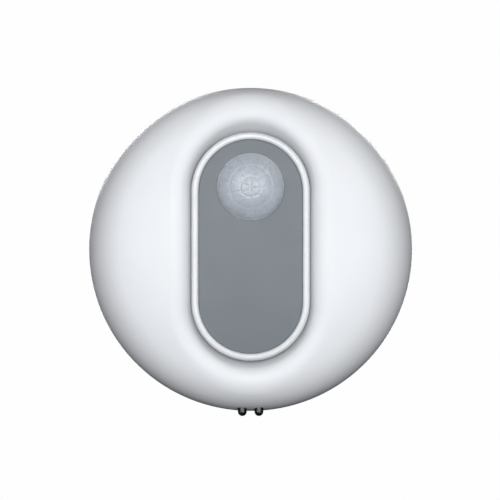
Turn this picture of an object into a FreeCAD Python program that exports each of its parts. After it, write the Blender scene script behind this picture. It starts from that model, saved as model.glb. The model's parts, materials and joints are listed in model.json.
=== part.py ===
"""Wall-mounted passive-infrared motion sensor, built as an assembly of separate pieces.

Everything is drawn in a working frame that faces the viewer: x to the right, y up, z out of the
wall. Each sub-part's Placement then stands it on the wall, which turns z into -Y and y into +Z.
The origin is the centre of the wall plate's rear face, and all sizes are millimetres.
"""
import FreeCAD
import Part
import Sketcher
import math
import os

Vector = FreeCAD.Vector
ON_THE_WALL = FreeCAD.Placement(Vector(0, 0, 0), FreeCAD.Rotation(Vector(1, 0, 0), 90))

SIZES = {
    # case outline
    "case_radius": 40, "case_flat": 18, "case_top": 28, "edge_radius": 12, "edge_height": 14,
    "wall": 2, "seam_height": 9.15, "seam_gap": 0.3,
    # window: a slot with straight sides and round ends, a little above the centre
    "window_rise": 0.7, "window_straight": 13.57, "window_bend": 300, "lip_top": 27.2,
    "lip_inner": 12.8, "lip_outer": 14.6, "lip_round": 0.7, "roll_half": 13.4, "roll_radius": 5.8,
    "opening_half": 14.7, "well_half": 17.4, "well_foot": 20, "well_reach": 20.6, "well_arch": 25,
    "well_bend": 90, "bezel_flange": 16.9, "bezel_seat": 13.8, "bezel_foot": 19,
    "panel_half": 12.7, "panel_flange": 13.7,
    "panel_step": 0.8, "panel_thick": 1.6, "panel_lap": 1.65,
    # infrared lens and the optics behind it
    "lens_rise": 15.4, "lens_radius": 8.25, "lens_hole": 8.35, "lens_base": 25.6,
    "lens_height": 4.2, "lens_wall": 0.7, "lens_flange": 10.2, "lens_seat": 23.4,
    "flange_thick": 0.8, "boss_radius": 11.6, "boss_bore": 10.7, "boss_foot": 21.8,
    "funnel_mouth": 7.4, "funnel_throat": 6, "funnel_foot": 17.6,
    # rear housing
    "floor_low": 3.4, "floor_thick": 1.6, "skirt_inner": 36, "skirt_outer": 37.6,
    "skirt_foot": 0.5, "skirt_bulge": 16.25, "tongue_outer": 37.8, "tongue_inner": 36.2,
    "tongue_top": 12.4, "seal_low": 10.2, "seal_high": 11.6, "seal_depth": 0.9, "seal_wire": 0.53,
    # battery bays
    "bay_centre": 11.5, "bay_half": 5.75, "bay_length": 25.25, "bay_wall": 1.15, "bay_roof": 13.4,
    "roof_thick": 0.8, "cell_radius": 5.2, "cell_length": 43.3, "cell_height": 8,
    "nub_radius": 1.9, "nub_length": 1.1, "contact_thick": 0.3, "contact_width": 9,
    "spring_radius": 3.2, "spring_wire": 0.3, "spring_turns": 2.5, "tail_width": 2,
    # wall plate and its bayonet
    "plate_radius": 34, "plate_thick": 2.4, "rim_high": 3.1, "rim_width": 1.8,
    "lug_low": 1.9, "lug_half": 4.7, "lug_reach": 35.5, "hook_top": 1.6, "hook_half": 4.2,
    "hook_inner": 34.35, "stop_gap": 0.25, "stop_width": 1.2, "stop_low": 0.4,
    "tamper_hole": 3.2, "screw_spread": 25, "screw_hole": 2.1, "screw_recess": 4.2,
    "recess_depth": 1.2, "pad_length": 15, "pad_half": 4.5, "pad_rise": 20, "pad_thick": 0.6,
    # circuit board and fixings
    "board_low": 14.4, "board_thick": 1.6, "board_radius": 34.3, "boss_spread": 23.2,
    "case_boss": 2.9, "case_pillar": 3, "boss_notch": 3.5, "case_pilot": 1.1, "case_clear": 1.3,
    "case_head": 2.1, "head_bore": 2.5, "head_thick": 1.5, "head_seat": 5.4, "case_tip": 16,
    "board_spread": 28, "board_top_fix": 30, "board_pillar": 2.5, "board_pilot": 0.8,
    "board_hole": 1.1, "board_head": 1.9, "board_screw": 6,
    # buttons and switches
    "switch_half": 3, "switch_low": 11, "stem_low": 9.9, "stem_radius": 1.7, "stem_travel": 0.3,
    "plunger_tip": 2.3, "plunger_body": 3.4, "plunger_bore": 1.75, "plunger_low": 0,
    "plunger_step": 6.6, "plunger_top": 9.4, "guide_outer": 4.5, "guide_bore": 3.7,
    "guide_top": 9, "tip_bore": 2.5, "tamper_wire": 0.2, "tamper_coil": 1.3,
    "tamper_turns": 7, "spring_seat": 1.6, "button_drop": 14, "button_radius": 2,
    "button_flange": 3, "button_bore": 2.15, "button_low": 3.5, "flange_low": 5.1,
    # infrared detector
    "can_foot": 16.5, "can_radius": 4.1, "can_flange": 4.6, "can_height": 4.2,
    "can_rim": 0.6, "filter_half": 2, "filter_tall": 1.5, "leg_radius": 0.22,
    "leg_circle": 2.54, "leg_foot": 13,
    # contact pins at the lower edge
    "pin_spread": 2.05, "pin_radius": 1.1, "pin_height": 17.4, "pin_reach": 41.2,
    "pin_inner": 33.2, "carrier_half": 4.1, "carrier_tall": 2, "carrier_inner": 34.8,
    "finger_thick": 0.25, "finger_half": 0.8, "finger_foot": 2.7,
    "finger_top": 18.6,
    # small electronics
    "antenna_radius": 2.4, "antenna_wire": 0.35, "antenna_turns": 10, "antenna_length": 16,
    "antenna_side": 20.6, "guide_radius": 1.5, "guide_foot": 2.6, "guide_seat": 23.7,
    "led_drop": 18, "lux_drop": 6,
    # parts on the board
    "module_side": 19, "module_half": 5.5, "module_low": 3, "module_high": 18,
    "module_thick": 0.8, "shield_half": 4.8, "shield_low": 4, "shield_high": 13,
    "shield_rise": 2, "shield_sheet": 0.2, "chip_side": 8.5, "chip_half": 3.5, "chip_drop": 12,
    "chip_thick": 0.9, "crystal_half": 1.6, "crystal_low": 20.5, "crystal_high": 18,
    "crystal_thick": 0.8, "part_half": 0.5, "part_length": 0.6, "part_pitch": 2,
}

DOC = FreeCAD.newDocument("motion_sensor")
SHEET = DOC.addObject("Spreadsheet::Sheet", "Size")
for row, (alias, number) in enumerate(SIZES.items(), start=1):
    SHEET.set(f"A{row}", alias)
    SHEET.set(f"B{row}", str(number))
    SHEET.setAlias(f"B{row}", alias)
DOC.recompute()

NODES = []
ORIGIN_POINT = (-1, 1)


# ---- expressions ---------------------------------------------------------------------------

def on_sheet(text):
    """The same expression with every alias qualified by its sheet."""
    words, word = [], ""
    for letter in str(text) + " ":
        if letter.isalnum() or letter in "_.":
            word += letter
            continue
        words.append(f"Size.{word}" if word in SIZES else word)
        words.append(letter)
        word = ""
    return "".join(words).strip()


def value(text):
    """The expression's number, read from the sheet."""
    result = SHEET.evalExpression(on_sheet(text))
    return float(getattr(result, "Value", result))


def bind(item, **properties):
    """Binds properties such as Radius or Placement_Base_x to expressions on the sheet."""
    for name, text in properties.items():
        item.setExpression(name.replace("_", "."), on_sheet(text))
    return item


def node(label, item):
    """Registers a finished piece under its own name and stands it on the wall."""
    item.Label = label
    item.Placement = ON_THE_WALL
    NODES.append(item)
    return item


# ---- sketches ------------------------------------------------------------------------------

def pin_point(sketch, geometry, end, x, y):
    """Fixes one point of a sketch at (x, y), both expressions."""
    for kind, text in (("DistanceX", x), ("DistanceY", y)):
        rule = sketch.addConstraint(
            Sketcher.Constraint(kind, *ORIGIN_POINT, geometry, end, value(text)))
        sketch.setExpression(f"Constraints[{rule}]", on_sheet(text))


def size_rule(sketch, kind, geometry, text):
    rule = sketch.addConstraint(Sketcher.Constraint(kind, geometry, value(text)))
    sketch.setExpression(f"Constraints[{rule}]", on_sheet(text))


def draw_circle(sketch, x, y, radius):
    centre = Vector(value(x), value(y), 0)
    ring = sketch.addGeometry(Part.Circle(centre, Vector(0, 0, 1), value(radius)), False)
    pin_point(sketch, ring, 3, x, y)
    size_rule(sketch, "Radius", ring, radius)


def arc_between(start, end, radius, bend):
    """The arc from start to end, counter-clockwise as the sketcher keeps it."""
    chord = end - start
    left = Vector(-chord.y, chord.x, 0).normalize()
    centre = (start + end) / 2 - left * bend * math.sqrt(radius ** 2 - chord.Length ** 2 / 4)
    first = math.atan2(start.y - centre.y, start.x - centre.x)
    last = math.atan2(end.y - centre.y, end.x - centre.x)
    if bend > 0:
        first, last = last, first
    if last < first:
        last += 2 * math.pi
    return Part.ArcOfCircle(Part.Circle(centre, Vector(0, 0, 1), radius), first, last)


def draw_outline(sketch, points, arcs=None):
    """A closed outline through points. arcs maps the index of a side to (radius, bend), where
    bend is +1 for an arc that swells to the left of its direction of travel and -1 to the right."""
    arcs = arcs or {}
    spots = [Vector(value(x), value(y), 0) for x, y in points]
    sides, ends = [], []
    for index, spot in enumerate(spots):
        after = spots[(index + 1) % len(spots)]
        if index not in arcs:
            sides.append(sketch.addGeometry(Part.LineSegment(spot, after), False))
            ends.append((1, 2))
            continue
        radius, bend = arcs[index]
        sides.append(sketch.addGeometry(arc_between(spot, after, value(radius), bend), False))
        ends.append((1, 2) if bend < 0 else (2, 1))
        size_rule(sketch, "Radius", sides[-1], radius)
    for index, (x, y) in enumerate(points):
        before = index - 1
        sketch.addConstraint(Sketcher.Constraint(
            "Coincident", sides[before], ends[before][1], sides[index], ends[index][0]))
        pin_point(sketch, sides[index], ends[index][0], x, y)


def draw_slot(sketch, first, second, radius):
    """Two half circles about two centres, joined by straight sides."""
    near, far = [Vector(value(x), value(y), 0) for x, y in (first, second)]
    way = far - near
    side = Vector(-way.y, way.x, 0).normalize() * value(radius)
    turn = math.atan2(way.y, way.x)
    quarter = math.pi / 2
    pieces = [
        Part.ArcOfCircle(Part.Circle(near, Vector(0, 0, 1), value(radius)),
                         turn + quarter, turn + 3 * quarter),
        Part.LineSegment(near - side, far - side),
        Part.ArcOfCircle(Part.Circle(far, Vector(0, 0, 1), value(radius)),
                         turn - quarter, turn + quarter),
        Part.LineSegment(far + side, near + side)]
    numbers = [sketch.addGeometry(piece, False) for piece in pieces]
    for index, number in enumerate(numbers):
        after = numbers[(index + 1) % len(numbers)]
        sketch.addConstraint(Sketcher.Constraint("Tangent", number, 2, after, 1))
    pin_point(sketch, numbers[0], 3, *first)
    pin_point(sketch, numbers[2], 3, *second)
    size_rule(sketch, "Radius", numbers[0], radius)
    size_rule(sketch, "Radius", numbers[2], radius)


def rectangle(sketch, x_low, x_high, y_low, y_high):
    draw_outline(sketch, [(x_low, y_low), (x_high, y_low), (x_high, y_high), (x_low, y_high)])


def draw_window(sketch, half):
    """The window's slot shape, half being its half width."""
    draw_slot(sketch, ("0", "window_rise - window_straight"),
              ("0", "window_rise + window_straight"), half)


def loose_sketch(name, height="0"):
    """A sketch outside any body, parallel to the wall at that height."""
    return bind(DOC.addObject("Sketcher::SketchObject", name), Placement_Base_z=height)


def body_sketch(body, name, plane="XY_Plane", height="0"):
    sketch = body.newObject("Sketcher::SketchObject", name)
    support = [f for f in body.Origin.OriginFeatures if f.Role == plane][0]
    sketch.AttachmentSupport = [(support, "")]
    sketch.MapMode = "FlatFace"
    return bind(sketch, AttachmentOffset_Base_z=height)


# ---- features of a body ---------------------------------------------------------------------

def new_body(name):
    return DOC.addObject("PartDesign::Body", name)


def revolve(body, name, points, arcs=None):
    """A body turned about z from a profile of (radius, height) points."""
    sketch = body_sketch(body, name + "_profile", "XZ_Plane")
    draw_outline(sketch, points, arcs)
    feature = body.newObject("PartDesign::Revolution", name)
    feature.Profile = sketch
    feature.ReferenceAxis = (sketch, ["V_Axis"])
    feature.Angle = 360
    return feature


def pad(body, name, low, high, draw):
    """Material between two heights; draw fills in the sketch."""
    sketch = body_sketch(body, name + "_sketch", height=low)
    draw(sketch)
    feature = body.newObject("PartDesign::Pad", name)
    feature.Profile = sketch
    return bind(feature, Length=f"({high}) - ({low})")


def pocket(body, name, low, high, draw):
    """Takes away what lies between two heights, and makes sure that something was there."""
    DOC.recompute()
    before = body.Shape.Volume
    sketch = body_sketch(body, name + "_sketch", height=low)
    draw(sketch)
    feature = body.newObject("PartDesign::Pocket", name)
    feature.Profile = sketch
    feature.Reversed = True
    bind(feature, Length=f"({high}) - ({low})")
    DOC.recompute()
    if body.Shape.Volume > before - 1e-6:
        raise RuntimeError(f"{name} cuts nothing")
    return feature


def polar(body, name, features, count):
    """Repeats features evenly about z."""
    pattern = body.newObject("PartDesign::PolarPattern", name)
    pattern.Originals = features
    pattern.Axis = ([f for f in body.Origin.OriginFeatures if f.Role == "Z_Axis"][0], [""])
    pattern.Angle = 360
    pattern.Occurrences = count
    body.Tip = pattern
    return pattern


def at_corners(draw_one):
    """Calls draw_one(x, y) for the four screw positions of the case."""
    for x in ("boss_spread", "-boss_spread"):
        for y in ("boss_spread", "-boss_spread"):
            draw_one(x, y)


def board_fixings():
    return (("board_spread", "0"), ("-board_spread", "0"), ("0", "board_top_fix"))


# ---- loose solids ---------------------------------------------------------------------------

AXES = {"x": FreeCAD.Rotation(Vector(0, 1, 0), 90), "y": FreeCAD.Rotation(Vector(1, 0, 0), -90),
        "z": FreeCAD.Rotation()}


def rod(name, radius, x, y, z, length, along="z"):
    """A cylinder whose foot is at (x, y, z)."""
    item = DOC.addObject("Part::Cylinder", name)
    item.Placement.Rotation = AXES[along]
    return bind(item, Radius=radius, Height=length,
                Placement_Base_x=x, Placement_Base_y=y, Placement_Base_z=z)


def block(name, x_half, x, y_low, y_high, z_low, z_high):
    """A box centred on x, between two ys and two zs."""
    item = DOC.addObject("Part::Box", name)
    return bind(item, Length=f"2 * ({x_half})", Width=f"({y_high}) - ({y_low})",
                Height=f"({z_high}) - ({z_low})", Placement_Base_x=f"({x}) - ({x_half})",
                Placement_Base_y=y_low, Placement_Base_z=z_low)


def ball(name, radius, x, y, z):
    item = DOC.addObject("Part::Sphere", name)
    return bind(item, Radius=radius, Placement_Base_x=x, Placement_Base_y=y, Placement_Base_z=z)


def extrude(name, low, high, draw):
    """A loose prism between two heights."""
    sketch = loose_sketch(name + "_sketch", low)
    draw(sketch)
    item = DOC.addObject("Part::Extrusion", name)
    item.Base = sketch
    item.DirMode = "Custom"
    item.Dir = Vector(0, 0, 1)
    item.Solid = True
    return bind(item, LengthFwd=f"({high}) - ({low})")


def turned(name, points, arcs=None, x="0", y="0"):
    """A loose solid of revolution about z from (radius, height) points."""
    sketch = DOC.addObject("Sketcher::SketchObject", name + "_profile")
    sketch.Placement = ON_THE_WALL
    draw_outline(sketch, points, arcs)
    item = DOC.addObject("Part::Revolution", name)
    item.Source = sketch
    item.Axis = Vector(0, 0, 1)
    item.Solid = True
    return bind(item, Placement_Base_x=x, Placement_Base_y=y)


def fuse(name, *items):
    item = DOC.addObject("Part::MultiFuse", name)
    item.Shapes = list(items)
    item.Refine = True
    return item


def cut(name, base, tool):
    item = DOC.addObject("Part::Cut", name)
    item.Base, item.Tool = base, tool
    return item


def common(name, *items):
    item = DOC.addObject("Part::MultiCommon", name)
    item.Shapes = list(items)
    return item


def group(name, *items):
    """Separate solids in one piece."""
    item = DOC.addObject("Part::Compound", name)
    item.Links = list(items)
    return item


def round_edges(name, base, radius, chosen):
    """Rounds the edges whose middle satisfies chosen."""
    DOC.recompute()
    item = DOC.addObject("Part::Fillet", name)
    item.Base = base
    numbers = [
        index for index, edge in enumerate(base.Shape.Edges, start=1)
        if chosen(edge.valueAt((edge.FirstParameter + edge.LastParameter) / 2))]
    item.Edges = [(number, value(radius), value(radius)) for number in numbers]
    return item


def coil(name, radius, wire, length, turns):
    """A round-wire helix about z whose first wire centre is at height 0."""
    path = DOC.addObject("Part::Helix", name + "_path")
    path.SegmentLength = 0.5
    bind(path, Radius=radius, Height=length, Pitch=f"({length}) / ({turns})")
    climb = math.atan2(value(f"({length}) / ({turns})"), 2 * math.pi * value(radius))
    section = DOC.addObject("Part::Circle", name + "_section")
    section.Placement.Rotation = FreeCAD.Rotation(Vector(1, 0, 0), math.degrees(climb) - 90)
    bind(section, Radius=wire, Placement_Base_x=radius)
    DOC.recompute()
    item = DOC.addObject("Part::Sweep", name)
    item.Sections = [section]
    item.Spine = (path, [f"Edge{n + 1}" for n in range(len(path.Shape.Edges))])
    item.Solid = True
    item.Frenet = True
    return item


def bent_under(name, top):
    """Everything under a surface that arches over the window, top being its height at the middle.
    The arch is a cylinder lying along x, so the window falls back towards its two ends."""
    return rod(name, "window_bend", "-case_radius", "0", f"({top}) - window_bend",
               "2 * case_radius", along="x")


# ---- case -----------------------------------------------------------------------------------

def dome(name, inset, foot):
    """The case's rounded front as a solid: a flat middle, a shoulder and a full edge, each arc
    tangent to the next. inset draws the same surface further in."""
    run = "(case_radius - edge_radius - case_flat)"
    rise = "(case_top - edge_height)"
    shoulder = f"(({run} ^ 2 + {rise} ^ 2 - edge_radius ^ 2) / (2 * ({rise} - edge_radius)))"
    reach = f"(edge_radius - {inset}) / ({shoulder} - edge_radius)"
    top, rim = f"case_top - {inset}", f"case_radius - {inset}"
    join = (f"case_radius - edge_radius + {run} * {reach}",
            f"edge_height + ({shoulder} - {rise}) * {reach}")
    return turned(name, [
        ("0", foot), ("0", top), ("case_flat", top), join, (rim, "edge_height"), (rim, foot)],
        {2: (f"{shoulder} - {inset}", 1), 3: (f"edge_radius - {inset}", 1)})


def front_cover():
    """The domed front: it rolls down into the window, whose well stands inside it."""
    outside = dome("cover_outside", "0", "seam_height")
    roll_cut = extrude("roll_cut", "0", "case_radius", lambda s: draw_window(s, "roll_half"))
    open_dome = cut("open_dome", outside, roll_cut)
    DOC.recompute()
    straight, rise, half = value("window_straight"), value("window_rise"), value("roll_half")

    def on_window_edge(point):
        past = max(abs(point.y - rise) - straight, 0)
        return abs(math.hypot(point.x, past) - half) < 0.01 and point.z > value("well_foot")

    rolled = round_edges("rolled_dome", open_dome, "roll_radius", on_window_edge)
    hollow = dome("cover_hollow", "wall", "seam_height")
    well = extrude("window_well", "well_foot", "case_top", lambda s: draw_window(s, "well_half"))
    below_arch = rod("below_well_arch", "well_bend", "-case_radius", "0", "well_arch - well_bend",
                     "2 * case_radius", along="x")
    backing = cut("roll_backing", extrude("roll_backing_prism", "well_foot", "case_top",
                                          lambda s: draw_window(s, "well_reach")), below_arch)
    bosses = []
    at_corners(lambda x, y: bosses.append(
        rod("cover_boss", "case_boss", x, y, "seam_height", "case_top - seam_height")))
    cavity = cut("cavity", hollow, fuse("kept_inside", well, backing, *bosses))
    opening = extrude("opening", "0", "case_radius", lambda s: draw_window(s, "opening_half"))
    holes = []
    at_corners(lambda x, y: holes.append(
        rod("cover_pilot", "case_pilot", x, y, "seam_height", "case_tip + 1 - seam_height")))
    pin_ways = [rod("pin_way", "pin_radius + 0.1", x, "-pin_reach", "pin_height",
                    "pin_reach - pin_inner", along="y") for x in ("-pin_spread", "pin_spread")]
    openings = fuse("cover_openings", cavity, opening, *pin_ways, *holes)
    node("front_cover", cut("front_cover_shell", rolled, openings))


def rear_housing():
    """The back half of the case: skirt, floor, battery bays, pillars and bayonet hooks."""
    body = new_body("rear_housing_body")
    shoulder = "seam_height - seam_gap"
    floor_top = "floor_low + floor_thick"
    groove = "tongue_outer - seal_depth"
    revolve(body, "housing_shell", [
        ("0", "floor_low"), ("skirt_inner", "floor_low"), ("skirt_inner", "skirt_foot"),
        ("skirt_outer", "skirt_foot"), ("case_radius", shoulder), ("tongue_outer", shoulder),
        ("tongue_outer", "seal_low"), (groove, "seal_low"), (groove, "seal_high"),
        ("tongue_outer", "seal_high"), ("tongue_outer", "tongue_top"),
        ("tongue_inner", "tongue_top"), ("tongue_inner", floor_top), ("0", floor_top)],
        {3: ("skirt_bulge", -1)})

    def bays(sketch, grow):
        for side in ("bay_centre", "-bay_centre"):
            rectangle(sketch, f"{side} - bay_half - {grow}", f"{side} + bay_half + {grow}",
                      f"-bay_length - {grow}", f"bay_length + {grow}")

    def pillars(sketch):
        at_corners(lambda x, y: draw_circle(sketch, x, y, "case_pillar"))

    def board_pillars(sketch):
        for x, y in board_fixings():
            draw_circle(sketch, x, y, "board_pillar")

    pad(body, "bay_walls", "floor_low", "bay_roof + roof_thick", lambda s: bays(s, "bay_wall"))
    pad(body, "case_pillars", "floor_low", shoulder, pillars)
    pad(body, "board_pillars", "floor_low", "board_low", board_pillars)
    pad(body, "guides", "floor_low", "guide_top", lambda s: draw_circle(s, "0", "0", "guide_outer"))
    hook = pad(body, "hook", "skirt_foot", "hook_top", lambda s: rectangle(
        s, "-hook_half", "hook_half", "hook_inner", "skirt_inner + 0.8"))
    polar(body, "hooks", [hook], 3)
    pocket(body, "bays", "floor_low", "bay_roof", lambda s: bays(s, "0"))
    pocket(body, "tip_bore", "floor_low", floor_top,
           lambda s: draw_circle(s, "0", "0", "tip_bore"))
    pocket(body, "guide_bore", floor_top, "guide_top",
           lambda s: draw_circle(s, "0", "0", "guide_bore"))
    pocket(body, "button_hole", "floor_low", floor_top,
           lambda s: draw_circle(s, "0", "-button_drop", "button_bore"))
    pocket(body, "screw_ways", "floor_low", shoulder, lambda s: at_corners(
        lambda x, y: draw_circle(s, x, y, "case_clear")))
    pocket(body, "head_bores", "floor_low", "head_seat", lambda s: at_corners(
        lambda x, y: draw_circle(s, x, y, "head_bore")))

    def board_pilots(sketch):
        for x, y in board_fixings():
            draw_circle(sketch, x, y, "board_pilot")

    def tail_slots(sketch):
        for side in ("bay_centre", "-bay_centre"):
            for end, inner in (("bay_length", "bay_length - 0.8"),
                               ("-bay_length + 0.8", "-bay_length")):
                rectangle(sketch, f"{side} - tail_width / 2 - 0.2", f"{side} + tail_width / 2 + 0.2",
                          inner, end)

    pocket(body, "board_pilots", "board_low - board_screw", "board_low", board_pilots)
    pocket(body, "tail_slots", "bay_roof", "bay_roof + roof_thick", tail_slots)
    node("rear_housing", body)


def case_seal():
    ring = DOC.addObject("Part::Torus", "seal_ring")
    bind(ring, Radius1="tongue_outer - seal_depth + seal_wire", Radius2="seal_wire",
         Placement_Base_z="(seal_low + seal_high) / 2")
    node("case_seal", group("case_seal_ring", ring))


def wall_plate():
    """The plate that is fixed to the wall, with bayonet lugs that the housing's hooks slide under."""
    body = new_body("wall_plate_body")
    revolve(body, "plate_disc", [
        ("0", "0"), ("plate_radius", "0"), ("plate_radius", "rim_high"),
        ("plate_radius - rim_width", "rim_high"), ("plate_radius - rim_width", "plate_thick"),
        ("0", "plate_thick")])
    lug = pad(body, "lug", "lug_low", "rim_high", lambda s: rectangle(
        s, "-lug_half", "lug_half", "plate_radius - 1", "lug_reach"))
    stop = pad(body, "stop", "stop_low", "rim_high", lambda s: rectangle(
        s, "hook_half + stop_gap", "hook_half + stop_gap + stop_width",
        "plate_radius - 1", "lug_reach - 0.2"))
    polar(body, "lugs", [lug, stop], 3)
    pocket(body, "tamper_hole", "0", "plate_thick",
           lambda s: draw_circle(s, "0", "0", "tamper_hole"))

    def screw_circles(sketch, radius):
        for x in ("screw_spread", "-screw_spread"):
            draw_circle(sketch, x, "0", radius)

    pocket(body, "screw_holes", "0", "plate_thick", lambda s: screw_circles(s, "screw_hole"))
    pocket(body, "screw_recesses", "plate_thick - recess_depth", "plate_thick",
           lambda s: screw_circles(s, "screw_recess"))
    pocket(body, "pad_recesses", "0", "pad_thick", draw_pads)
    node("wall_plate", body)


def draw_pads(sketch):
    """Two round-ended pads, one above and one below the centre."""
    for rise in ("pad_rise", "-pad_rise"):
        draw_slot(sketch, ("pad_half - pad_length", rise), ("pad_length - pad_half", rise),
                  "pad_half")


def adhesive_pads():
    node("adhesive_pads", group("adhesive_pair", extrude("pads", "0", "pad_thick", draw_pads)))


def case_screws():
    screws = []

    def one(x, y):
        screws.append(fuse(
            "case_screw",
            rod("screw_shank", "case_pilot", x, y, "head_seat", "case_tip - head_seat"),
            cut("screw_head",
                rod("screw_cap", "case_head", x, y, "head_seat - head_thick", "head_thick"),
                cross("screw_cross", x, y, "head_seat - head_thick", "head_thick * 0.6"))))

    at_corners(one)
    node("case_screws", group("case_screw_set", *screws))


def cross(name, x, y, low, depth):
    """The cross recess of a screw head that is reached from the wall side."""
    return fuse(name,
                block(name + "_a", "case_head * 0.6", x, f"({y}) - 0.25", f"({y}) + 0.25",
                      low, f"({low}) + {depth}"),
                block(name + "_b", "0.25", x, f"({y}) - case_head * 0.6",
                      f"({y}) + case_head * 0.6", low, f"({low}) + {depth}"))


# ---- window ---------------------------------------------------------------------------------

def window_bezel():
    """The white lip around the window, with a seat for the panel and a flange behind the well."""
    tube = extrude("bezel_tube", "well_foot", "case_radius", lambda s: draw_window(s, "lip_outer"))
    bore = extrude("bezel_bore", "0", "case_radius", lambda s: draw_window(s, "lip_inner"))
    ring = cut("bezel_ring", common("bezel_arched", tube, bent_under("lip_arch", "lip_top")), bore)

    def on_top(point):
        return math.hypot(point.y, point.z - value("lip_top - window_bend")) > value(
            "window_bend - 0.05")

    lip = round_edges("bezel_lip", ring, "lip_round", on_top)
    flange = extrude("bezel_flange_prism", "bezel_foot", "well_foot",
                     lambda s: draw_window(s, "bezel_flange"))
    seat = common(
        "bezel_seat_space",
        extrude("bezel_seat_prism", "0", "case_radius", lambda s: draw_window(s, "bezel_seat")),
        bent_under("seat_arch", "lip_top - panel_lap + 0.05"))
    node("window_bezel", cut("bezel_shape", fuse("bezel_solid", lip, flange), seat))


def window_panel():
    """The grey panel: gently arched, lapped into the bezel, with a round boss for the lens."""
    face = common(
        "panel_face",
        extrude("panel_prism", "well_foot - 1", "case_radius", lambda s: draw_window(s, "panel_half")),
        bent_under("panel_arch", "lip_top - panel_step"))
    lap = common(
        "panel_lap_ring",
        extrude("lap_prism", "well_foot - 1", "case_radius", lambda s: draw_window(s, "panel_flange")),
        bent_under("lap_arch", "lip_top - panel_lap"))
    behind = bent_under("panel_back", "lip_top - panel_step - panel_thick")
    shell = cut("panel_shell", fuse("panel_solid", face, lap), behind)
    boss = rod("lens_boss", "boss_radius", "0", "lens_rise", "boss_foot",
               "lip_top - panel_step - panel_thick - boss_foot")
    boss_trimmed = common("lens_boss_trimmed", boss, bent_under("boss_arch", "lip_top - panel_step"))
    seat = rod("boss_seat", "boss_bore", "0", "lens_rise", "0", "lens_seat")
    hole = rod("panel_hole", "lens_hole", "0", "lens_rise", "0", "case_radius")
    solid = fuse("panel_with_boss", shell, boss_trimmed)
    node("window_panel", cut("panel_shape", solid, fuse("panel_bores", seat, hole)))


def fresnel_lens():
    """A moulded infrared lens: domed cap, short collar and a flange that is held from behind."""
    bore, hollow = "lens_radius - lens_wall", "(lens_height - lens_wall)"
    cap_radius = "(lens_radius ^ 2 + lens_height ^ 2) / (2 * lens_height)"
    hollow_radius = f"(({bore}) ^ 2 + {hollow} ^ 2) / (2 * {hollow})"
    flange_low = "lens_seat - flange_thick"
    node("fresnel_lens", group("lens_solid", turned("lens_cap", [
        (bore, flange_low), ("lens_flange", flange_low), ("lens_flange", "lens_seat"),
        ("lens_radius", "lens_seat"), ("lens_radius", "lens_base"),
        ("0", "lens_base + lens_height"), ("0", f"lens_base + {hollow}"), (bore, "lens_base")],
        {4: (cap_radius, -1), 6: (hollow_radius, 1)}, y="lens_rise")))


def lens_funnel():
    """The ring that clamps the lens, drawn down into a funnel around the detector."""
    top = "lens_seat - flange_thick"
    neck = f"{top} - 0.8"
    node("lens_funnel", group("funnel_solid", turned("funnel", [
        ("funnel_mouth", top), ("lens_flange + 0.3", top), ("lens_flange + 0.3", neck),
        ("funnel_mouth + 1.1", neck), ("funnel_throat + 0.8", "funnel_foot"),
        ("funnel_throat", "funnel_foot"), ("funnel_mouth", neck)], y="lens_rise")))


# ---- electronics ----------------------------------------------------------------------------

BOARD_TOP = "board_low + board_thick"


def main_board():
    body = new_body("main_board_body")
    pad(body, "board_disc", "board_low", BOARD_TOP,
        lambda s: draw_circle(s, "0", "0", "board_radius"))
    pocket(body, "boss_notches", "board_low", BOARD_TOP, lambda s: at_corners(
        lambda x, y: draw_circle(s, x, y, "boss_notch")))

    def small_holes(sketch):
        for x, y in board_fixings():
            draw_circle(sketch, x, y, "board_hole")
        for x, y in detector_legs():
            draw_circle(sketch, x, y, "leg_radius + 0.15")
        for side in ("bay_centre", "-bay_centre"):
            for end in ("bay_length - 0.4", "-bay_length + 0.4"):
                draw_circle(sketch, side, end, "tail_width / 2 + 0.2")

    pocket(body, "board_holes", "board_low", BOARD_TOP, small_holes)
    node("main_board", body)


def board_screws():
    screws = []
    for x, y in board_fixings():
        screws.append(fuse(
            "board_screw",
            rod("board_shank", "board_pilot", x, y, f"{BOARD_TOP} - board_screw", "board_screw"),
            cut("board_cap_cut",
                rod("board_cap", "board_head", x, y, BOARD_TOP, "1.3"),
                cross("board_cross", x, y, f"{BOARD_TOP} + 0.6", "0.8"))))
    node("board_screws", group("board_screw_set", *screws))


def detector_legs():
    """The three leads of the detector, on its lead circle."""
    spots = []
    for angle in (45, 225, 315):
        spots.append((f"leg_circle * cos({angle} deg)",
                      f"lens_rise + leg_circle * sin({angle} deg)"))
    return spots


def infrared_detector():
    """The metal-can detector: can with its rim, the silicon filter, three leads and a spacer."""
    top = "can_foot + can_height"
    can = fuse("can_solid",
               rod("can_rim_disc", "can_flange", "0", "lens_rise", "can_foot", "can_rim"),
               rod("can_tube", "can_radius", "0", "lens_rise", "can_foot", "can_height"))

    def on_can_top(point):
        return abs(point.z - value(top)) < 0.01

    rounded = round_edges("can_rounded", can, "can_rim", on_can_top)
    window = block("filter_space", "filter_half", "0", "lens_rise - filter_tall",
                   "lens_rise + filter_tall", f"{top} - 0.3", f"{top} + 1")
    node("detector_can", cut("can_shape", rounded, window))
    node("detector_filter", group("filter_plate", block(
        "filter_block", "filter_half", "0", "lens_rise - filter_tall",
        "lens_rise + filter_tall", f"{top} - 0.3", f"{top} - 0.05")))
    legs = [rod("detector_leg", "leg_radius", x, y, "leg_foot", "can_foot - leg_foot")
            for x, y in detector_legs()]
    node("detector_leads", group("lead_set", *legs))
    spacer = rod("spacer_disc", "can_flange", "0", "lens_rise", BOARD_TOP,
                 f"can_foot - ({BOARD_TOP})")
    holes = [rod("spacer_hole", "leg_radius + 0.1", x, y, BOARD_TOP, "1")
             for x, y in detector_legs()]
    node("detector_spacer", cut("spacer_shape", spacer, fuse("spacer_holes", *holes)))


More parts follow.
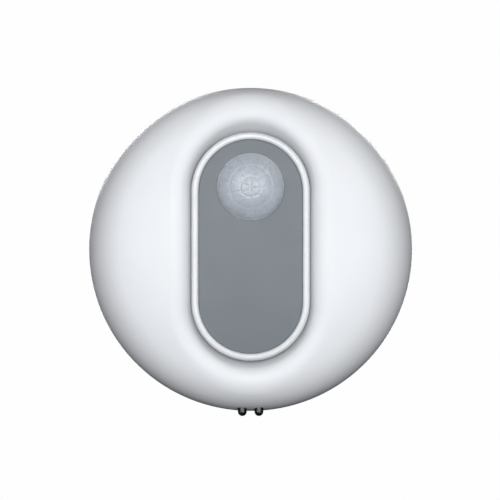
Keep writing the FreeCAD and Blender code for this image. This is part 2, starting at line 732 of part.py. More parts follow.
def push_switch(name, x, y):
    """A tactile switch on the wall side of the board: body and stem."""
    case = block(name + "_case", "switch_half", x, f"{y} - switch_half", f"{y} + switch_half",
                 "switch_low", "board_low")
    bore = rod(name + "_bore", "stem_radius + 0.1", x, y, "switch_low", "stem_travel + 0.9")
    node(name + "_switch", cut(name + "_switch_body", case, bore))
    node(name + "_stem", group(name + "_stem_rod", rod(
        name + "_stem_solid", "stem_radius", x, y, "stem_low", "switch_low - stem_low + 0.8")))


def tamper_plunger():
    """A hollow plunger that the wall holds in, with the spring that pushes it out."""
    node("tamper_plunger", group("plunger_solid", turned("plunger", [
        ("0", "plunger_low"), ("plunger_tip - 0.4", "plunger_low"),
        ("plunger_tip", "plunger_low + 0.4"), ("plunger_tip", "plunger_step"),
        ("plunger_body", "plunger_step"), ("plunger_body", "plunger_top"),
        ("plunger_bore", "plunger_top"), ("plunger_bore", "spring_seat"), ("0", "spring_seat")])))
    wire = coil("tamper_coil_wire", "tamper_coil", "tamper_wire",
                "stem_low - spring_seat - 2 * tamper_wire", "tamper_turns")
    bind(wire, Placement_Base_z="spring_seat + tamper_wire")
    node("tamper_spring", group("tamper_spring_wire", wire))


def pairing_button():
    node("pairing_button", group("pairing_button_solid", turned("pairing_rod", [
        ("0", "button_low"), ("button_radius - 0.3", "button_low"),
        ("button_radius", "button_low + 0.3"), ("button_radius", "flange_low"),
        ("button_flange", "flange_low"), ("button_flange", "flange_low + 1"),
        ("button_radius - 0.2", "flange_low + 1"), ("button_radius - 0.2", "stem_low"),
        ("0", "stem_low")], y="-button_drop")))


def battery(label, x, way):
    """One cell. way is +1 with its positive end up and -1 with it down."""
    half = "(cell_length + nub_length) / 2"
    foot = f"-({half})" if way > 0 else f"-({half}) + nub_length"
    nub = f"{half} - nub_length" if way > 0 else f"-({half})"
    can = rod(label + "_can", "cell_radius", x, foot, "cell_height", "cell_length", along="y")
    can_round = round_edges(label + "_rounded", can, "0.45",
                            lambda point: abs(abs(point.y) - value("cell_length / 2")) < 1)
    tip = rod(label + "_nub", "nub_radius", x, nub, "cell_height", "nub_length", along="y")
    node(label, fuse(label + "_solid", can_round, tip))


def battery_contacts(side, x, way):
    """A flat contact at the cell's positive end and a sprung one at its negative end, each with
    a tail that goes up through the bay's roof into the board."""
    def plate(name, y_low, y_high):
        middle = f"(({y_low}) + ({y_high})) / 2"
        return fuse(
            name,
            block(name + "_leaf", "contact_width / 2", x, y_low, y_high,
                  "cell_height - contact_width / 2", "bay_roof - 0.1"),
            block(name + "_tail", "tail_width / 2", x, f"{middle} - contact_thick / 2",
                  f"{middle} + contact_thick / 2", "bay_roof - 0.2", f"{BOARD_TOP} + 0.5"))

    end = "bay_length - 0.25"
    up = (f"{end} - contact_thick", end)
    down = (f"-({end})", f"-({end}) + contact_thick")
    flat, sprung = (up, down) if way > 0 else (down, up)
    cell_end = "(cell_length + nub_length) / 2"
    gap = f"{end} - contact_thick - {cell_end}"
    tip_low, tip_high = (cell_end, f"{end} - contact_thick")
    bump = rod(f"bump_{side}", "nub_radius * 0.8", x,
               tip_low if way > 0 else f"-({tip_high})", "cell_height", gap, along="y")
    node(f"battery_plate_{side}", fuse(f"plate_{side}", plate(f"flat_{side}", *flat), bump))
    wire = coil(f"spring_{side}", "spring_radius", "spring_wire",
                f"{gap} - 2 * spring_wire", "spring_turns")
    wire.Placement.Rotation = AXES["y"]
    start = (f"-({end}) + contact_thick + spring_wire" if way > 0
             else f"{cell_end} + spring_wire")
    bind(wire, Placement_Base_x=x, Placement_Base_y=start, Placement_Base_z="cell_height")
    node(f"battery_spring_{side}", group(
        f"sprung_{side}", plate(f"spring_leaf_{side}", *sprung), wire))


def contact_pins():
    """Two pins that stand out of the lower edge, in an insulating carrier, each touched by a
    spring finger on the board."""
    pins = {"left": "-pin_spread", "right": "pin_spread"}
    for side, x in pins.items():
        shank = rod(f"pin_shank_{side}", "pin_radius", x, "-(pin_reach - pin_radius)",
                    "pin_height", "pin_reach - pin_radius - pin_inner", along="y")
        tip = ball(f"pin_tip_{side}", "pin_radius", x, "-(pin_reach - pin_radius)", "pin_height")
        node(f"contact_pin_{side}", fuse(f"pin_{side}", shank, tip))
        foot = block(f"finger_foot_{side}", "finger_half", x, "-pin_inner",
                     "-pin_inner + finger_foot", BOARD_TOP, f"{BOARD_TOP} + finger_thick")
        leaf = block(f"finger_leaf_{side}", "finger_half", x, "-pin_inner",
                     "-pin_inner + finger_thick", BOARD_TOP, "finger_top")
        node(f"contact_finger_{side}", fuse(f"finger_{side}", foot, leaf))
    block_body = common("carrier_solid",
                        carrier_prism("carrier_body", "carrier_inner", "pin_reach"),
                        dome("carrier_limit", "(wall + 0.05)", "seam_height"))
    holes = [rod("carrier_hole", "pin_radius", x, "-pin_reach", "pin_height",
                 "pin_reach", along="y") for x in pins.values()]
    node("contact_carrier", cut("carrier_shape", block_body, fuse("carrier_holes", *holes)))


def carrier_prism(name, inner, outer):
    """A round-ended bar along y through the lower edge, which the contact pins share."""
    sketch = DOC.addObject("Sketcher::SketchObject", name + "_sketch")
    sketch.Placement = ON_THE_WALL
    draw_slot(sketch, ("carrier_tall - carrier_half", "pin_height"),
              ("carrier_half - carrier_tall", "pin_height"), "carrier_tall")
    item = DOC.addObject("Part::Extrusion", name)
    item.Base = sketch
    item.DirMode = "Custom"
    item.Dir = Vector(0, -1, 0)
    item.Solid = True
    return bind(item, LengthFwd=f"({outer}) - ({inner})", Placement_Base_y=f"-({inner})")


def light_guides():
    """The status light and the daylight sensor, each under a clear rod behind the panel."""
    for name, drop, part_name in (("led", "led_drop", "status_led"),
                                  ("lux", "lux_drop", "daylight_sensor")):
        node(part_name, group(part_name + "_chip", block(
            part_name + "_block", "1.6", "0", f"-{drop} - 0.8", f"-{drop} + 0.8",
            BOARD_TOP, f"{BOARD_TOP} + 0.9")))
        node(name + "_light_guide", group(name + "_guide_solid", turned(name + "_guide", [
            ("guide_foot - 0.5", BOARD_TOP), ("guide_foot", BOARD_TOP),
            ("guide_foot", f"{BOARD_TOP} + 2.2"), ("guide_radius", f"{BOARD_TOP} + 2.2"),
            ("guide_radius", "guide_seat - 0.8"), ("guide_radius + 1", "guide_seat - 0.8"),
            ("guide_radius + 1", "guide_seat"), ("0", "guide_seat"),
            ("0", f"{BOARD_TOP} + 1.4"), ("guide_foot - 0.5", f"{BOARD_TOP} + 1.4")],
            y=f"-{drop}")))


def antenna():
    wire = coil("antenna_wire_coil", "antenna_radius", "antenna_wire",
                "antenna_length", "antenna_turns")
    wire.Placement.Rotation = AXES["y"]
    bind(wire, Placement_Base_x="-antenna_side", Placement_Base_y="-antenna_length / 4",
         Placement_Base_z=f"{BOARD_TOP} + antenna_radius + 1")
    foot = rod("antenna_foot", "antenna_wire", "-antenna_side + antenna_radius",
               "-antenna_length / 4", BOARD_TOP, "antenna_radius + 1 - antenna_wire")
    node("antenna", group("antenna_solids", wire, foot))


def board_parts():
    """The radio module under its shield, the controller, its crystal and the chip parts."""
    module_top = f"{BOARD_TOP} + module_thick"
    node("radio_module", group("radio_board", block(
        "radio_block", "module_half", "module_side", "module_low", "module_high",
        BOARD_TOP, module_top)))
    shield = block("shield_outside", "shield_half", "module_side", "shield_low", "shield_high",
                   module_top, f"{module_top} + shield_rise")
    inside = block("shield_inside", "shield_half - shield_sheet", "module_side",
                   "shield_low + shield_sheet", "shield_high - shield_sheet",
                   module_top, f"{module_top} + shield_rise - shield_sheet")
    node("radio_shield", cut("shield_shape", shield, inside))
    node("controller_chip", group("controller_body", block(
        "controller_block", "chip_half", "chip_side", "-chip_drop - chip_half",
        "-chip_drop + chip_half", BOARD_TOP, f"{BOARD_TOP} + chip_thick")))
    node("crystal", group("crystal_body", block(
        "crystal_block", "crystal_half", "chip_side", "-crystal_low", "-crystal_high",
        BOARD_TOP, f"{BOARD_TOP} + crystal_thick")))
    chips = []
    rows = (("-9", "-6", 4), ("-13", "-12", 3), ("14.5", "-14", 2))
    for index, (x, first, count) in enumerate(rows):
        for step in range(count):
            low = f"{first} - {step} * part_pitch"
            chips.append(block(f"chip_{index}_{step}", "part_half", x, low,
                               f"{low} + part_length", BOARD_TOP, f"{BOARD_TOP} + part_half"))
    node("chip_parts", group("chip_part_set", *chips))


def build():
    wall_plate()
    adhesive_pads()
    rear_housing()
    case_seal()
    front_cover()
    case_screws()
    window_bezel()
    window_panel()
    fresnel_lens()
    lens_funnel()
    main_board()
    board_screws()
    infrared_detector()
    push_switch("tamper", "0", "0")
    push_switch("pairing", "0", "-button_drop")
    tamper_plunger()
    pairing_button()
    for side, x, way in (("left", "-bay_centre", 1), ("right", "bay_centre", -1)):
        battery(f"battery_{side}", x, way)
        battery_contacts(side, x, way)
    contact_pins()
    light_guides()
    antenna()
    board_parts()


def write_steps():
    """Stops on any failed feature or bad solid, then writes each piece to its own file."""
    DOC.recompute()
    failed = [o.Name for o in DOC.Objects if "Invalid" in o.State or "Error" in o.State]
    if failed:
        raise RuntimeError(f"failed features: {failed}")
    for item in NODES:
        if item.Shape.isNull() or not item.Shape.isValid() or not item.Shape.Solids:
            raise RuntimeError(f"{item.Label} has no valid solid")
    os.makedirs("parts", exist_ok=True)
    for item in NODES:
        shape = item.Shape
        shape.exportStep(f"parts/{item.Label}.step")
        print(f"{item.Label}: {len(shape.Solids)} solids, {shape.Volume / 1000:.3f} cm3")


build()
write_steps()
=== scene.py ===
import json
import math

import bmesh
import bpy
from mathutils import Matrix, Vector


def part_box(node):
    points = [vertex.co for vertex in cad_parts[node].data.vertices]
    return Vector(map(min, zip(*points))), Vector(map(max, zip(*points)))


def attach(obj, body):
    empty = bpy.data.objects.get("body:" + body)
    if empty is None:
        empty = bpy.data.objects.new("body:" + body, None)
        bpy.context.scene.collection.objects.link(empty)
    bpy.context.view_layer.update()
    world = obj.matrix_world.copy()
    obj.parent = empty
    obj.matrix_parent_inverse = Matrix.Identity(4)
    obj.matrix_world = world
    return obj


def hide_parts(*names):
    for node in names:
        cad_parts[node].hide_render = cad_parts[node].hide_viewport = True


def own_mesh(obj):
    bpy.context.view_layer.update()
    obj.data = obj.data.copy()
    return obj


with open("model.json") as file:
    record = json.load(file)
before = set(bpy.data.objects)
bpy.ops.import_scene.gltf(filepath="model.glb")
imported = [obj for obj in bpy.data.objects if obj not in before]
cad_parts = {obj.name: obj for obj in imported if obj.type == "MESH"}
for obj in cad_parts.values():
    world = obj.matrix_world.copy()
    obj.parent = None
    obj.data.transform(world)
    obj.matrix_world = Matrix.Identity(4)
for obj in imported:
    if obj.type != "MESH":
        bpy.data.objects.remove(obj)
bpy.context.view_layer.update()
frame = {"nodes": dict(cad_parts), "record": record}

NODES = frame["nodes"]
MM = 0.001

# a colour Mix node's sockets have the same names as its number sockets, so they go by index
MIX_AMOUNT, MIX_FIRST, MIX_SECOND, MIX_RESULT = 0, 6, 7, 2
AO_SAMPLES = 8


# ---- material building blocks ---------------------------------------------------------------

class Look:
    """A node material that starts from a Principled shader and object coordinates."""

    def __init__(self, name, **settings):
        self.material = bpy.data.materials.new(name)
        self.material.use_nodes = True
        self.tree = self.material.node_tree
        self.tree.nodes.clear()
        out = self.tree.nodes.new("ShaderNodeOutputMaterial")
        self.shader = self.tree.nodes.new("ShaderNodeBsdfPrincipled")
        self.tree.links.new(self.shader.outputs[0], out.inputs["Surface"])
        self.coords = self.tree.nodes.new("ShaderNodeTexCoord").outputs["Object"]
        self.relief = None
        for key, setting in settings.items():
            self.shader.inputs[key.replace("_", " ")].default_value = setting

    def new(self, kind, **inputs):
        """A node with these inputs, each a number, a colour or another node's output."""
        made = self.tree.nodes.new(kind)
        for key, given in inputs.items():
            self.feed(made.inputs[key.replace("_", " ")], given)
        return made

    def feed(self, socket, given):
        """Links an output to the socket, or sets the socket to a constant."""
        if isinstance(given, bpy.types.NodeSocket):
            self.tree.links.new(given, socket)
        else:
            socket.default_value = given

    def noise(self, scale, detail=2.0, roughness=0.5, coords=None):
        made = self.new("ShaderNodeTexNoise", Vector=coords or self.coords, Scale=scale,
                        Detail=detail, Roughness=roughness)
        return made.outputs[0]

    def cells(self, scale):
        """Distance to the nearest of many scattered points: pebbles, bubbles or dots."""
        made = self.new("ShaderNodeTexVoronoi", Vector=self.coords, Scale=scale)
        return made.outputs["Distance"]

    def stretched(self, x, y, z, turn=(0, 0, 0)):
        """Coordinates scaled along each axis, for lines and streaks."""
        made = self.new("ShaderNodeMapping", Vector=self.coords, Scale=(x, y, z), Rotation=turn)
        return made.outputs[0]

    def math(self, operation, first, second=0.0):
        made = self.tree.nodes.new("ShaderNodeMath")
        made.operation = operation
        self.feed(made.inputs[0], first)
        self.feed(made.inputs[1], second)
        return made.outputs[0]

    def span(self, given, low, high, to_low=0.0, to_high=1.0):
        """Maps low..high to to_low..to_high, and holds the ends."""
        made = self.new("ShaderNodeMapRange", Value=given, From_Min=low, From_Max=high,
                        To_Min=to_low, To_Max=to_high)
        return made.outputs[0]

    def blend(self, amount, first, second):
        """The first colour at 0, the second at 1."""
        made = self.tree.nodes.new("ShaderNodeMix")
        made.data_type = "RGBA"
        self.feed(made.inputs[MIX_AMOUNT], amount)
        self.feed(made.inputs[MIX_FIRST], first)
        self.feed(made.inputs[MIX_SECOND], second)
        return made.outputs[MIX_RESULT]

    def shelter(self, reach, open_share, deep_share):
        """1 where at least open_share of the surroundings within reach is clear, 0 where no more
        than deep_share is."""
        made = self.new("ShaderNodeAmbientOcclusion", Distance=reach)
        made.samples = AO_SAMPLES
        return self.span(made.outputs["AO"], deep_share, open_share)

    def colour(self, given):
        self.feed(self.shader.inputs["Base Color"], given)
        return self

    def rough(self, given):
        self.feed(self.shader.inputs["Roughness"], given)
        return self

    def bump(self, given, depth, strength=1.0):
        """Adds relief of this depth in metres; several calls stack."""
        made = self.new("ShaderNodeBump", Height=given, Distance=depth, Strength=strength)
        if self.relief is not None:
            self.feed(made.inputs["Normal"], self.relief)
        self.relief = made.outputs[0]
        self.feed(self.shader.inputs["Normal"], self.relief)
        return self

    def wear(self, fine, low, high):
        """Roughness that drifts between two values."""
        return self.rough(self.span(self.noise(fine, 4.0), 0.3, 0.7, low, high))


def rgb(r, g, b):
    return (r, g, b, 1.0)


def dimmed(tint, share):
    return rgb(*(channel * share for channel in tint))


# painted shade darkens hollows up to this wide, between these shares of clear surroundings
HOLLOW = 15 * MM
UNSHADED_SHARE = 0.97
SHADED_SHARE = 0.6


def moulded_white(name, tint, grain, rough_low, rough_high, relief, hollow_shade):
    """Spark-eroded white plastic: a fine pebbled grain over a barely uneven surface. hollow_shade
    is how much darker painted shade makes it in hollows and along seams, where little of the
    surroundings is clear."""
    look = Look(name, IOR=1.5, Specular_IOR_Level=0.45)
    drift = look.span(look.noise(28.0, 3.0), 0.3, 0.7)
    unshaded = look.blend(drift, rgb(*tint), dimmed(tint, 0.975))
    unoccluded = look.shelter(HOLLOW, UNSHADED_SHARE, SHADED_SHARE)
    # painted shade: the colour darkens where its surroundings are occluded
    look.colour(look.blend(unoccluded, dimmed(tint, 1 - hollow_shade), unshaded))
    pebbles = look.cells(grain)
    fine = look.noise(grain * 1.7, 3.0, 0.6)
    look.bump(pebbles, relief * 0.6, 0.35).bump(fine, relief, 0.35)
    return look.wear(160.0, rough_low, rough_high).material


def smooth_plastic(name, tint, rough_low, rough_high, grain=900.0, relief=8e-6, coat=0.0,
                   fade=0.93):
    """Plain moulded plastic or rubber; fade is how far its colour dims in slow patches."""
    look = Look(name, IOR=1.5, Coat_Weight=coat, Coat_Roughness=0.12)
    drift = look.span(look.noise(45.0, 3.0), 0.3, 0.7)
    look.colour(look.blend(drift, rgb(*tint), dimmed(tint, fade)))
    look.bump(look.noise(grain, 3.0, 0.55), relief, 0.5)
    return look.wear(210.0, rough_low, rough_high).material


def grained_metal(name, tint, rough_low, rough_high, stretch=(1, 1, 30), scale=400.0):
    """Drawn or plated metal with fine lines along one way."""
    look = Look(name, Metallic=1.0, IOR=2.0)
    lines = look.noise(scale, 3.0, 0.6, look.stretched(*stretch))
    stains = look.span(look.noise(300.0, 3.0), 0.35, 0.75)
    look.colour(look.blend(stains, rgb(*tint), dimmed(tint, 0.8)))
    look.bump(lines, 6e-6, 0.5)
    return look.rough(look.span(lines, 0.3, 0.7, rough_low, rough_high)).material


def frosted_lens():
    """Milky polyethylene: light scatters in it, and its ribs catch a soft sheen."""
    look = Look("lens_frost", IOR=1.5, Transmission_Weight=0.25, Subsurface_Weight=0.35,
                Subsurface_Scale=0.0012)
    look.shader.inputs["Subsurface Radius"].default_value = (1.0, 1.0, 1.0)
    cloudy = look.span(look.noise(320.0, 3.0), 0.3, 0.7)
    look.colour(look.blend(cloudy, rgb(0.65, 0.695, 0.75), rgb(0.57, 0.615, 0.68)))
    look.bump(look.noise(2400.0, 2.0), 5e-6, 0.4)
    return look.wear(400.0, 0.22, 0.32).material


def circuit_board():
    """Green solder mask over copper tracks, with a scatter of vias."""
    look = Look("board_green", IOR=1.52, Coat_Weight=0.35, Coat_Roughness=0.15)
    weave = look.noise(900.0, 2.0, 0.5, look.stretched(1, 1, 4))
    tracks = look.new("ShaderNodeTexBrick", Vector=look.stretched(1, 1, 1, (math.pi / 2, 0, 0)),
                      Scale=130.0, Mortar_Size=0.06, Brick_Width=1.4, Row_Height=0.42)
    vias = look.span(look.cells(420.0), 0.10, 0.16, 1.0, 0.0)
    base = look.blend(tracks.outputs["Fac"], rgb(0.012, 0.10, 0.045), rgb(0.03, 0.19, 0.085))
    look.colour(look.blend(vias, base, rgb(0.45, 0.36, 0.14)))
    look.bump(tracks.outputs["Fac"], 2.5e-5, 0.6).bump(weave, 1e-5, 0.4)
    return look.wear(240.0, 0.28, 0.42).material


def foam_pad():
    """White closed-cell foam under a smooth peel film."""
    look = Look("pad_foam", IOR=1.45, Coat_Weight=0.4, Coat_Roughness=0.2)
    bubbles = look.cells(3000.0)
    look.colour(look.blend(look.span(bubbles, 0.1, 0.6), rgb(0.57, 0.59, 0.61),
                           rgb(0.66, 0.68, 0.70)))
    look.bump(bubbles, 3e-5, 0.4).bump(look.noise(60.0, 2.0), 1.2e-4, 0.25)
    return look.wear(150.0, 0.38, 0.6).material


# the sleeve's half length about the cell's middle, and the light band's middle and half width
SLEEVE_REACH = 20.6 * MM
BAND_MIDDLE = 9 * MM
BAND_REACH = 4 * MM


def cell_sleeve():
    """A dark film sleeve with bare steel ends and a plain light band."""
    look = Look("cell_jacket", IOR=1.5)
    along = look.new("ShaderNodeSeparateXYZ", Vector=look.coords).outputs["Z"]
    bare = look.math("GREATER_THAN", look.math("ABSOLUTE", along), SLEEVE_REACH)
    from_band = look.math("ABSOLUTE", look.math("SUBTRACT", along, BAND_MIDDLE))
    band = look.math("LESS_THAN", from_band, BAND_REACH)
    scuffs = look.span(look.noise(520.0, 4.0, 0.6, look.stretched(1, 1, 0.15)), 0.55, 0.7)
    sleeve = look.blend(band, rgb(0.05, 0.07, 0.10), rgb(0.50, 0.36, 0.16))
    sleeve = look.blend(look.math("MULTIPLY", scuffs, 0.25), sleeve, rgb(0.5, 0.5, 0.5))
    look.colour(look.blend(bare, sleeve, rgb(0.62, 0.61, 0.58)))
    look.feed(look.shader.inputs["Metallic"], bare)
    look.bump(look.noise(1500.0, 2.0), 8e-6, 0.4)
    return look.wear(260.0, 0.2, 0.34).material


def clear_rod():
    """Clear moulded light guide, barely uneven."""
    look = Look("guide_clear", IOR=1.49, Transmission_Weight=0.85)
    look.colour(look.blend(look.span(look.noise(250.0), 0.3, 0.7), rgb(0.86, 0.90, 0.92),
                           rgb(0.78, 0.83, 0.86)))
    look.bump(look.noise(1100.0, 2.0), 6e-6, 0.4)
    return look.wear(300.0, 0.08, 0.2).material


# the last number of each moulded white is how much darker its painted shade makes hollows
LOOKS = {
    "case_white": moulded_white("case_white", (0.80, 0.815, 0.835), 3400.0, 0.36, 0.46,
                                1.6e-5, 0.40),
    "housing_white": moulded_white("housing_white", (0.77, 0.78, 0.795), 2200.0, 0.48, 0.60,
                                   3.0e-5, 0.3),
    "plate_white": moulded_white("plate_white", (0.72, 0.725, 0.735), 1500.0, 0.5, 0.64,
                                 4.0e-5, 0.3),
    "lip_white": smooth_plastic("lip_white", (0.70, 0.72, 0.745), 0.24, 0.34, coat=0.2),
    "panel_grey": smooth_plastic("panel_grey", (0.116, 0.139, 0.161), 0.38, 0.42, 2600.0, 5e-6,
                                 fade=0.975),
    "lens_frost": frosted_lens(),
    "funnel_black": smooth_plastic("funnel_black", (0.02, 0.02, 0.021), 0.5, 0.65),
    "board_green": circuit_board(),
    "screw_steel": grained_metal("screw_steel", (0.66, 0.65, 0.62), 0.25, 0.42, (1, 1, 1), 900.0),
    "can_metal": grained_metal("can_metal", (0.70, 0.68, 0.64), 0.22, 0.36, (1, 12, 1)),
    "filter_dark": smooth_plastic("filter_dark", (0.05, 0.045, 0.07), 0.05, 0.12),
    "lead_metal": grained_metal("lead_metal", (0.76, 0.72, 0.62), 0.3, 0.45),
    "spacer_white": smooth_plastic("spacer_white", (0.72, 0.72, 0.68), 0.5, 0.6),
    "switch_black": smooth_plastic("switch_black", (0.03, 0.03, 0.033), 0.4, 0.55),
    "stem_tan": smooth_plastic("stem_tan", (0.40, 0.31, 0.17), 0.4, 0.52),
    "plunger_grey": smooth_plastic("plunger_grey", (0.20, 0.21, 0.225), 0.36, 0.5),
    "button_grey": smooth_plastic("button_grey", (0.34, 0.35, 0.37), 0.36, 0.5),
    "spring_steel": grained_metal("spring_steel", (0.72, 0.71, 0.68), 0.2, 0.34, (20, 1, 1)),
    "cell_jacket": cell_sleeve(),
    "pin_metal": grained_metal("pin_metal", (0.075, 0.075, 0.08), 0.3, 0.45, (1, 1, 12), 900.0),
    "finger_brass": grained_metal("finger_brass", (0.80, 0.60, 0.28), 0.22, 0.38),
    "carrier_black": smooth_plastic("carrier_black", (0.02, 0.02, 0.022), 0.45, 0.6),
    "led_body": smooth_plastic("led_body", (0.74, 0.72, 0.62), 0.15, 0.3),
    "guide_clear": clear_rod(),
    "antenna_copper": grained_metal("antenna_copper", (0.72, 0.36, 0.18), 0.2, 0.32, (1, 12, 1)),
    "chip_black": smooth_plastic("chip_black", (0.022, 0.022, 0.025), 0.42, 0.6, 1500.0, 1.6e-5),
    "crystal_metal": grained_metal("crystal_metal", (0.72, 0.71, 0.68), 0.18, 0.3, (1, 12, 1)),
    "chip_ceramic": smooth_plastic("chip_ceramic", (0.34, 0.25, 0.15), 0.45, 0.6),
    "seal_rubber": smooth_plastic("seal_rubber", (0.025, 0.025, 0.027), 0.55, 0.7),
    "pad_foam": foam_pad(),
}


def finish_cad_nodes():
    """Gives every CAD node its slot's material."""
    for entry in frame["record"]["subparts"]:
        node = NODES[entry["node"]]
        node.data.materials.clear()
        node.data.materials.append(LOOKS[entry["material_slot"]])


# ---- tamper spring --------------------------------------------------------------------------

def build_tamper_coil():
    """The CAD spring's shape again, as a mesh of its own carried with the sensor head."""
    coil = bpy.data.objects.new("tamper_coil", NODES["tamper_spring"].data.copy())
    bpy.context.scene.collection.objects.link(coil)
    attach(coil, "sensor_head")
    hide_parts("tamper_spring")
    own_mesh(coil)


# ---- lens -----------------------------------------------------------------------------------

# each ring of facets: its outer edge as a share of the lens's radius, and how many facets it has
LENS_RINGS = ((0.30, 5), (0.62, 9), (0.98, 13))
LENS_RADIUS = 8.32 * MM
LENS_CAP = 4.2 * MM
LENS_WALL = 0.7 * MM
FLANGE_THICK = 0.8 * MM
FACET_SINK = 0.12 * MM
FACET_PUFF = 0.08 * MM
# how steeply a facet rises from its round edges and from its sides, and its height at a side
EDGE_SLOPE = 6
SIDE_SLOPE = 7
SIDE_HEIGHT = 0.15
GROOVE_PITCH = 0.42 * MM
GROOVE_DEPTH = 0.035 * MM
LENS_AROUND = 288
LENS_STEPS = 120
BOWL_STEPS = 16


def cap_height(radius, base_radius, cap):
    """Height of a spherical cap above its base, at this distance from its axis."""
    sphere = (base_radius ** 2 + cap ** 2) / (2 * cap)
    return math.sqrt(sphere ** 2 - radius ** 2) - (sphere - cap)


def facet_relief(radius, turn):
    """How far the lens's surface lies from the plain dome here: each facet is sunk, puffed
    towards its middle, and cut with grooves about its own centre."""
    share = radius / LENS_RADIUS
    inner = 0.0
    for outer, count in LENS_RINGS:
        if share <= outer:
            break
        inner = outer
    else:
        return 0.0
    facet = turn * count / (2 * math.pi)
    across = (share - inner) / (outer - inner)
    along = facet % 1.0
    edge = min(across, 1 - across) if inner else 1 - across
    side = min(along, 1 - along)
    puff = min(1.0, EDGE_SLOPE * edge) * min(1.0, SIDE_SLOPE * side + SIDE_HEIGHT)
    centre_radius = (inner + outer) / 2 * LENS_RADIUS if inner else 0.0
    centre_turn = (math.floor(facet) + 0.5) * 2 * math.pi / count
    away = math.hypot(radius * math.cos(turn) - centre_radius * math.cos(centre_turn),
                      radius * math.sin(turn) - centre_radius * math.sin(centre_turn))
    groove = (away / GROOVE_PITCH) % 1.0
    return puff * FACET_PUFF - FACET_SINK - groove * GROOVE_DEPTH


def lens_loop(mesh, centre, radius, height, relief=None):
    """A ring of points about the lens's axis, which runs along -Y."""
    loop = []
    for index in range(LENS_AROUND):
        turn = 2 * math.pi * index / LENS_AROUND
        lift = relief(radius, turn) if relief else 0.0
        loop.append(mesh.verts.new((centre.x + radius * math.cos(turn), -(height + lift),
                                    centre.z + radius * math.sin(turn))))
    return loop


def stitch(mesh, loops):
    """Faces between each loop and the next."""
    for first, second in zip(loops, loops[1:]):
        for index in range(LENS_AROUND):
            after = (index + 1) % LENS_AROUND
            mesh.faces.new((first[index], first[after], second[after], second[index]))


def close_tip(mesh, loop, place):
    """A fan from the last loop to one point."""
    tip = mesh.verts.new(place)
    for index in range(LENS_AROUND):
        mesh.faces.new((loop[index], loop[(index + 1) % LENS_AROUND], tip))


def build_lens():
    """The faceted dome, on the collar and flange that the CAD lens has, hollow behind."""
    low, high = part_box("fresnel_lens")
    centre = (low + high) / 2
    flange = (high.x - low.x) / 2
    apex, foot = -low.y, -high.y
    base, seat = apex - LENS_CAP, foot + FLANGE_THICK
    bore, bowl = LENS_RADIUS - LENS_WALL, LENS_CAP - LENS_WALL
    mesh = bmesh.new()

    outside = [lens_loop(mesh, centre, flange, foot), lens_loop(mesh, centre, flange, seat),
               lens_loop(mesh, centre, LENS_RADIUS, seat),
               lens_loop(mesh, centre, LENS_RADIUS, base)]
    for step in range(LENS_STEPS - 1, 0, -1):
        radius = LENS_RADIUS * step / LENS_STEPS
        height = base + cap_height(radius, LENS_RADIUS, LENS_CAP)
        outside.append(lens_loop(mesh, centre, radius, height, facet_relief))
    inside = [lens_loop(mesh, centre, bore, foot), lens_loop(mesh, centre, bore, base)]
    for step in range(BOWL_STEPS - 1, 0, -1):
        radius = bore * step / BOWL_STEPS
        inside.append(lens_loop(mesh, centre, radius, base + cap_height(radius, bore, bowl)))
    stitch(mesh, outside)
    stitch(mesh, inside)
    stitch(mesh, [outside[0], inside[0]])
    close_tip(mesh, outside[-1], (centre.x, -(apex + FACET_PUFF - FACET_SINK), centre.z))
    close_tip(mesh, inside[-1], (centre.x, -(base + bowl), centre.z))
    bmesh.ops.recalc_face_normals(mesh, faces=mesh.faces)

    data = bpy.data.meshes.new("lens_faceted")
    mesh.to_mesh(data)
    mesh.free()
    for face in data.polygons:
        face.use_smooth = True
    data.materials.append(LOOKS["lens_frost"])
    piece = bpy.data.objects.new("lens_faceted", data)
    bpy.context.scene.collection.objects.link(piece)
    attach(piece, "sensor_head")
    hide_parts("fresnel_lens")


# ---- stage ----------------------------------------------------------------------------------

FLOOR_SIZE = 16.0
FLOOR_HEIGHT = -0.4
FLOOR_GLOW = 0.86
WORLD_SEEN = 0.99
WORLD_FILL = 0.01


def build_floor():
    """A plain pale floor, well under the wall-mounted object. It glows, so that it is evenly
    pale out to its edge, but throws no light back up."""
    bpy.ops.mesh.primitive_grid_add(x_subdivisions=8, y_subdivisions=8, size=FLOOR_SIZE,
                                    location=(0, 0, FLOOR_HEIGHT))
    floor = bpy.context.object
    floor.name = "floor"
    look = Look("floor_pale", IOR=1.45, Emission_Color=rgb(1, 1, 1), Emission_Strength=FLOOR_GLOW)
    look.colour(look.blend(look.noise(3.0, 2.0), rgb(0.10, 0.10, 0.10), rgb(0.12, 0.12, 0.12)))
    look.wear(12.0, 0.7, 0.85)
    floor.data.materials.append(look.material)
    floor.visible_diffuse = False
    floor.visible_glossy = False


def build_world():
    """White where the camera sees it, and dimmer where it lights the object."""
    world = bpy.data.worlds.new("studio")
    bpy.context.scene.world = world
    world.use_nodes = True
    tree = world.node_tree
    tree.nodes.clear()
    out = tree.nodes.new("ShaderNodeOutputWorld")
    mix = tree.nodes.new("ShaderNodeMixShader")
    rays = tree.nodes.new("ShaderNodeLightPath")
    seen = tree.nodes.new("ShaderNodeBackground")
    lit = tree.nodes.new("ShaderNodeBackground")
    seen.inputs["Color"].default_value = rgb(1, 1, 1)
    seen.inputs["Strength"].default_value = WORLD_SEEN
    lit.inputs["Color"].default_value = rgb(0.94, 0.97, 1.0)
    lit.inputs["Strength"].default_value = WORLD_FILL
    tree.links.new(rays.outputs["Is Camera Ray"], mix.inputs[0])
    tree.links.new(lit.outputs[0], mix.inputs[1])
    tree.links.new(seen.outputs[0], mix.inputs[2])
    tree.links.new(mix.outputs[0], out.inputs[0])


WARM = (1.0, 0.985, 0.93)
COOL = (0.88, 0.91, 1.0)
LIGHTS_AIM = Vector((0, -0.02, 0))


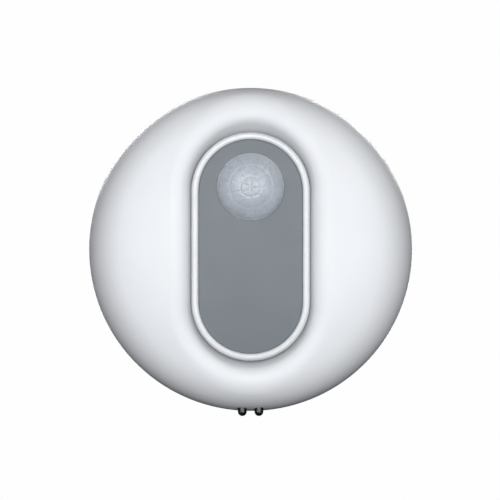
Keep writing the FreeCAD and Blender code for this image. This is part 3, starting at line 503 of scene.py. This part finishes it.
def softbox(name, place, size, power, tint=(1, 1, 1)):
    """A rectangular area light, in watts, that faces the object."""
    data = bpy.data.lights.new(name, "AREA")
    data.shape = "RECTANGLE"
    data.size, data.size_y = size
    data.energy = power
    data.color = tint
    lamp = bpy.data.objects.new(name, data)
    bpy.context.scene.collection.objects.link(lamp)
    lamp.location = place
    lamp.rotation_euler = (LIGHTS_AIM - Vector(place)).to_track_quat("-Z", "Y").to_euler()


def build_lights():
    """A broad light in front, a small key above it, soft lights to both sides and above, and
    three behind."""
    softbox("front", (0.0, -1.7, 0.0), (0.7, 0.7), 9.8, WARM)
    softbox("key", (0.0, -1.65, 0.43), (0.35, 0.35), 2.6, WARM)
    softbox("side_left", (-0.85, -1.4, 0.05), (0.5, 0.9), 7.8, COOL)
    softbox("side_right", (0.85, -1.4, 0.05), (0.5, 0.9), 8.4, COOL)
    softbox("upper_left", (-0.9, -1.2, 0.75), (0.6, 0.6), 3.3)
    softbox("upper_right", (0.9, -1.2, 0.75), (0.6, 0.6), 4.2, WARM)
    softbox("back_left", (-0.45, 1.5, 0.5), (0.5, 0.5), 8.0)
    softbox("back_right", (0.45, 1.5, 0.5), (0.5, 0.5), 6.0)
    softbox("back_low", (0.0, 1.6, -0.05), (0.8, 0.3), 3.0)


# the picture's width at the depth of the case's rim, and how far left and down it is centred
VIEW_WIDTH = 0.12384
RIM_DEPTH = 0.014
OFF_CENTRE = 0.0012 * VIEW_WIDTH
CAMERA_AWAY = 2.0


def build_camera():
    """Straight in front, through a long lens."""
    data = bpy.data.cameras.new("camera")
    data.sensor_width = 36.0
    data.lens = data.sensor_width * CAMERA_AWAY / VIEW_WIDTH
    data.clip_start, data.clip_end = 0.05, 50.0
    camera = bpy.data.objects.new("camera", data)
    bpy.context.scene.collection.objects.link(camera)
    aim = Vector((-OFF_CENTRE, -RIM_DEPTH, -OFF_CENTRE))
    camera.location = aim + Vector((0, -CAMERA_AWAY, 0))
    camera.rotation_euler = (math.pi / 2, 0, 0)
    bpy.context.scene.camera = camera


finish_cad_nodes()
build_tamper_coil()
build_lens()
build_floor()
build_world()
build_lights()
build_camera()
bpy.context.scene.view_settings.view_transform = "Standard"
